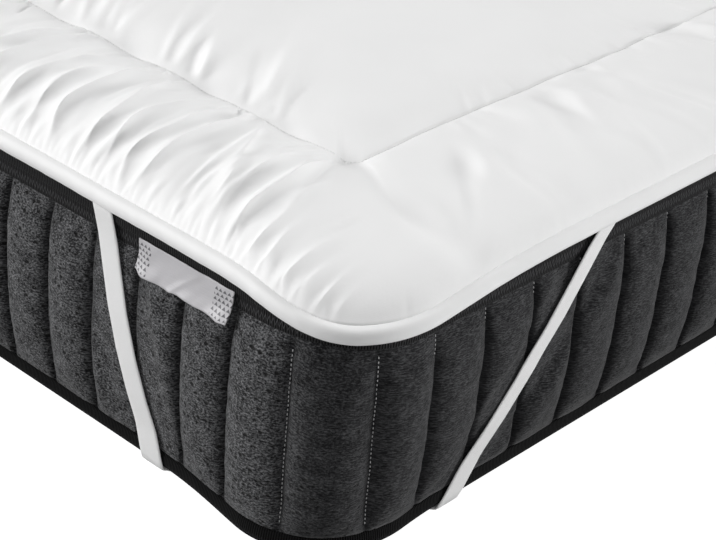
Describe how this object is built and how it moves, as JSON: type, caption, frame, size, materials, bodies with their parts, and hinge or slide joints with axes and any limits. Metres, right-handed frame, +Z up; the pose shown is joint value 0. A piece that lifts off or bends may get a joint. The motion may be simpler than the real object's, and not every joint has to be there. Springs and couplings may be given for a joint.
{
  "type": "mattress protector on mattress",
  "caption": "Filled white mattress protector with a stitched border and bound edge, held by elastic corner bands on a plain dark ribbed mattress.",
  "frame": {"origin": "on the floor under the middle of the mattress", "axes": "+Z up, +Y along the mattress's length, +X across its width; the corner in the picture is at -X -Y"},
  "size_m": [0.8992, 2.0124, 0.2305],
  "materials": {
    "cover": "smooth white microfibre",
    "edging": "smooth white binding",
    "elastic": "woven white elastic",
    "knit": "charcoal marl knit",
    "tape": "black ribbed tape",
    "satin": "blank white satin"
  },
  "bodies": {
    "root": {"pad": "cover", "binding": "edging", "band_near_left": "elastic", "band_near_right": "elastic", "band_far_right": "elastic", "band_far_left": "elastic", "mattress": "knit", "tape_top": "tape", "tape_bottom": "tape", "label": "satin"}
  },
  "joints": []
}
